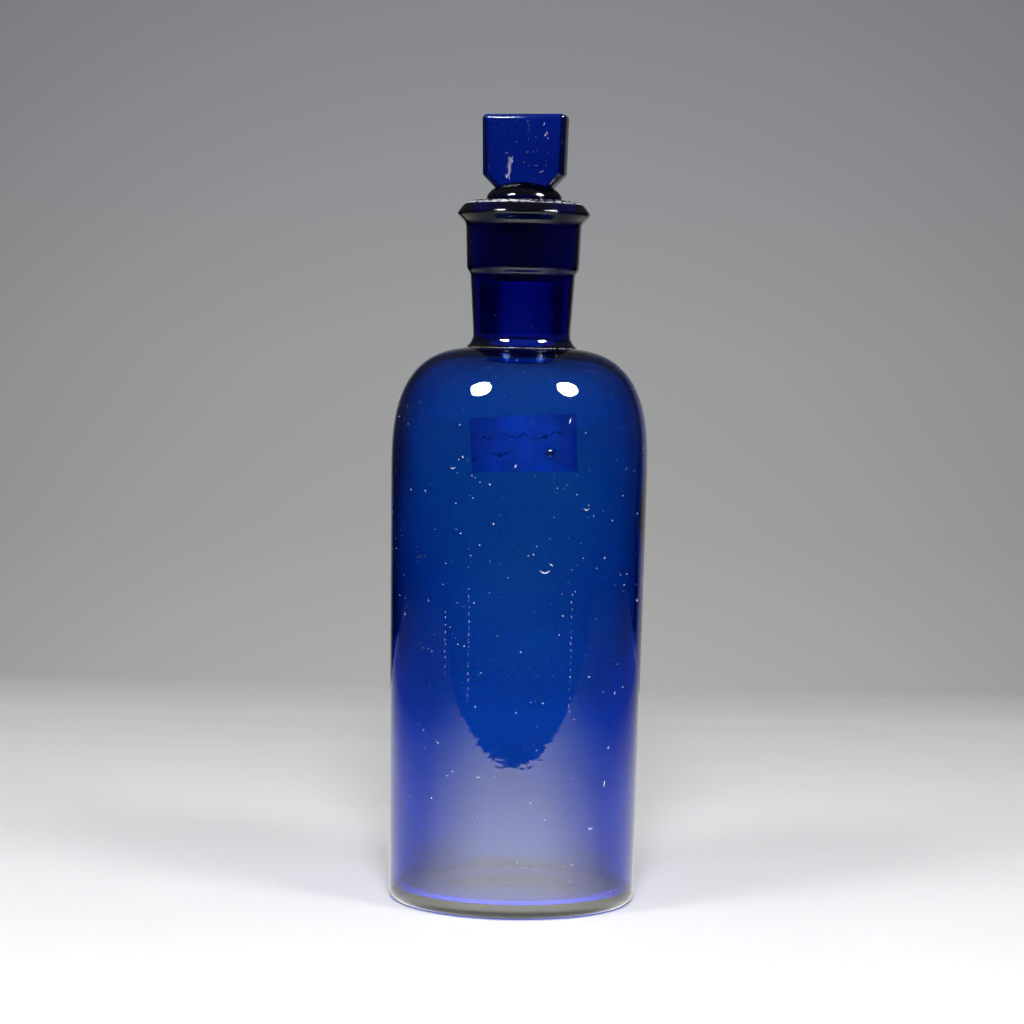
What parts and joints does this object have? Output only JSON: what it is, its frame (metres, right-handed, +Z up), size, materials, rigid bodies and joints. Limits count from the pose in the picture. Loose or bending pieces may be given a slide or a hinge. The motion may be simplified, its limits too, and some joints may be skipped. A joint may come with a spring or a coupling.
{
  "type": "medicine bottle",
  "caption": "Tall round blue glass pharmacy bottle: domed shoulder, stepped collar, flared lip, ground-glass stopper with a flat square head that lifts out, plain paper label on the back.",
  "frame": {"origin": "on the resting surface under the bottle's axis", "axes": "+Z up along the bottle's axis, -Y towards the front, so the label is on the +Y side"},
  "size_m": [0.075, 0.075, 0.2297],
  "materials": {
    "bottle_glass": "gloss",
    "stopper_glass": "gloss",
    "label_paper": "matte"
  },
  "bodies": {
    "bottle": {"bottle": "bottle_glass", "label": "label_paper"},
    "stopper": {"stopper": "stopper_glass"}
  },
  "joints": [
    {"name": "stopper_lift", "type": "slide", "parent": "bottle", "child": "stopper", "axis": [0, 0, 1], "range_m": [0, 0.06]}
  ]
}
